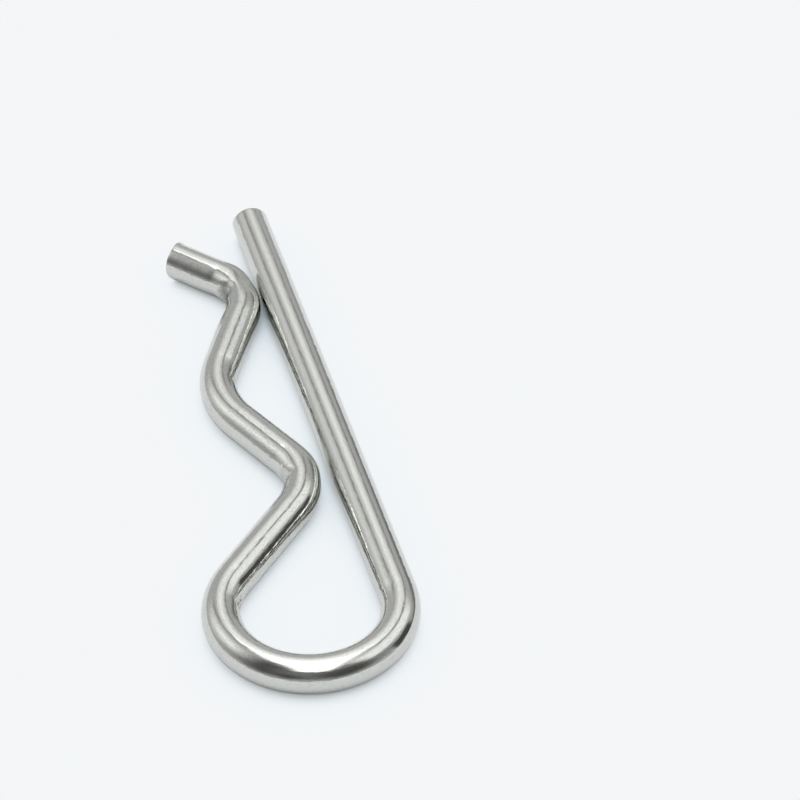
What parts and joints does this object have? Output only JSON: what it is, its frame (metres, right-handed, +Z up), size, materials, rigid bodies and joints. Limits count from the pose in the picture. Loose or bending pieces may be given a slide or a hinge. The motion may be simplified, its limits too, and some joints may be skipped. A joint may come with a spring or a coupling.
{
  "type": "hitch r clip pin",
  "caption": "Hitch R clip pin bent from round spring wire, with a straight leg, a crimped leg that snaps round a shaft, and a finger eye.",
  "frame": {"origin": "on the straight leg's axis, where the leg runs into the bow, at the middle of the wire", "axes": "+Y along the straight leg to its free end, -X towards the crimped leg, +Z up, square to the flat of the clip as it lies"},
  "size_m": [0.0218, 0.0724, 0.004],
  "materials": {
    "spring_wire": "bright drawn stainless spring wire, with fine lines along the wire and small marks inside the bends"
  },
  "bodies": {
    "root": {"r_clip": "spring_wire"}
  },
  "joints": []
}
